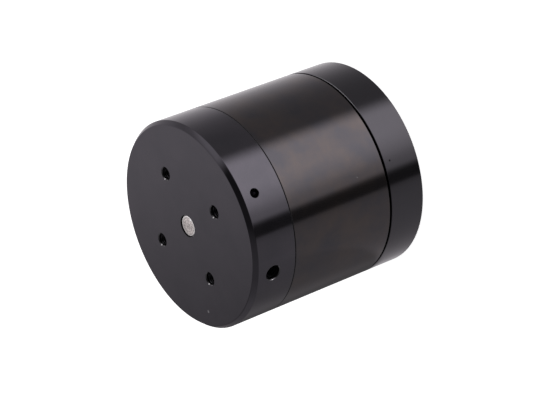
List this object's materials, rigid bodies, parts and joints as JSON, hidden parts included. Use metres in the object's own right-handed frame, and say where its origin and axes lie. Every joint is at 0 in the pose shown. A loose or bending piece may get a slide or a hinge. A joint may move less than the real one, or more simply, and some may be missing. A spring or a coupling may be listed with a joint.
{
  "type": "underwater brushless motor",
  "caption": "Short round outrunner motor with a turning front cap and ring, tapped output holes round a flush shaft end, and a fixed rear mounting base.",
  "frame": {"origin": "centre of the rear mounting face, on the motor's axis", "axes": "+Z along the motor's axis towards the output face, +X through the grub-screw hole"},
  "size_m": [0.05, 0.05, 0.0496],
  "materials": {
    "cap_anodised": "fine turned, black anodised, satin",
    "base_anodised": "fine turned, black anodised, satin",
    "blackened_steel": "chemically blackened steel, satin",
    "shaft_steel": "ground",
    "screw_steel": "black oxide",
    "washer_steel": "ground",
    "spring_steel": "tempered",
    "grommet_rubber": "moulded",
    "tube_aluminium": "turned, plain",
    "core_steel": "stacked laminations, lacquered",
    "insulator_nylon": "moulded",
    "bush_polymer": "moulded, water-lubricated",
    "magnet_nickel": "nickel plated",
    "winding_copper": "enamelled wire under clear resin"
  },
  "bodies": {
    "stator": {"rear_base": "base_anodised", "cable_grommet": "grommet_rubber", "bearing_tube": "tube_aluminium", "tube_screws": "screw_steel", "front_bush": "bush_polymer", "rear_bush": "bush_polymer", "stator_core": "core_steel", "front_insulator": "insulator_nylon", "rear_insulator": "insulator_nylon", "coil_01": "winding_copper", "coil_02": "winding_copper", "coil_03": "winding_copper", "coil_04": "winding_copper", "coil_05": "winding_copper", "coil_06": "winding_copper", "coil_07": "winding_copper", "coil_08": "winding_copper", "coil_09": "winding_copper", "coil_10": "winding_copper", "coil_11": "winding_copper", "coil_12": "winding_copper"},
    "rotor": {"front_cap": "cap_anodised", "flux_ring": "blackened_steel", "magnet_01": "magnet_nickel", "magnet_02": "magnet_nickel", "magnet_03": "magnet_nickel", "magnet_04": "magnet_nickel", "magnet_05": "magnet_nickel", "magnet_06": "magnet_nickel", "magnet_07": "magnet_nickel", "magnet_08": "magnet_nickel", "magnet_09": "magnet_nickel", "magnet_10": "magnet_nickel", "magnet_11": "magnet_nickel", "magnet_12": "magnet_nickel", "magnet_13": "magnet_nickel", "magnet_14": "magnet_nickel", "shaft": "shaft_steel", "shaft_grub_screw": "screw_steel", "spacer_sleeve": "washer_steel", "thrust_washer": "washer_steel", "shaft_circlip": "spring_steel"}
  },
  "joints": [
    {"name": "rotor_spin", "type": "hinge", "parent": "stator", "child": "rotor", "pos_m": [0, 0, 0.0248], "axis": [0, 0, 1], "continuous": true}
  ]
}
